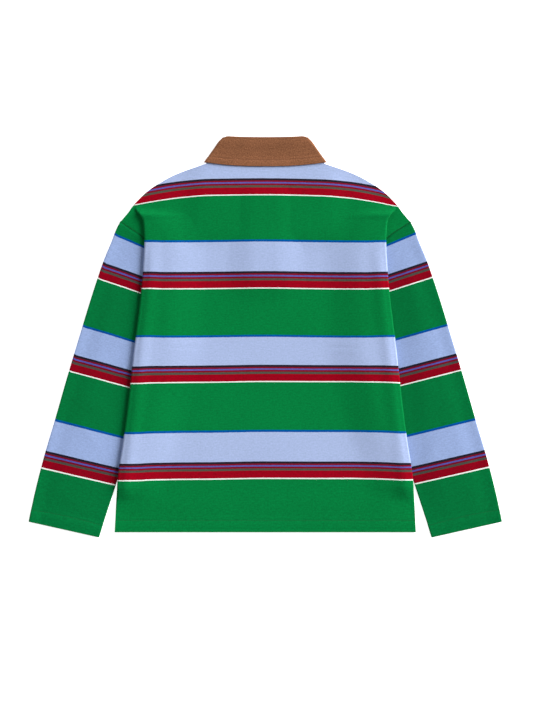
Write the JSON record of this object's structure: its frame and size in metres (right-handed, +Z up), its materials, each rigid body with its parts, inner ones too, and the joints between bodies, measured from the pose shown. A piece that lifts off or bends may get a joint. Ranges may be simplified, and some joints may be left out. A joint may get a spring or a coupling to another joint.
{
  "type": "long-sleeve polo shirt laid flat",
  "caption": "Striped long-sleeve polo shirt laid flat on its front, back up, with a ribbed collar, drop shoulders and the sleeves brought down beside and under the body.",
  "frame": {"origin": "centre of the bounding box on the surface that the shirt lies on", "axes": "+X to the right as seen from above, across both sleeves; +Y from the hem towards the neck; +Z up from the surface to the shirt's back"},
  "size_m": [0.8742, 0.7423, 0.0113],
  "materials": {
    "jersey": "matt striped cotton jersey: green with light blue, red, white and navy stripes",
    "rib": "matt brown flat-knit rib",
    "button": "satin off-white"
  },
  "bodies": {
    "root": {"back_panel": "jersey", "front_panel": "jersey", "sleeve_left": "jersey", "sleeve_right": "jersey", "collar": "rib", "placket_over": "jersey", "placket_under": "jersey", "button_1": "button", "button_2": "button", "button_3": "button"}
  },
  "joints": []
}
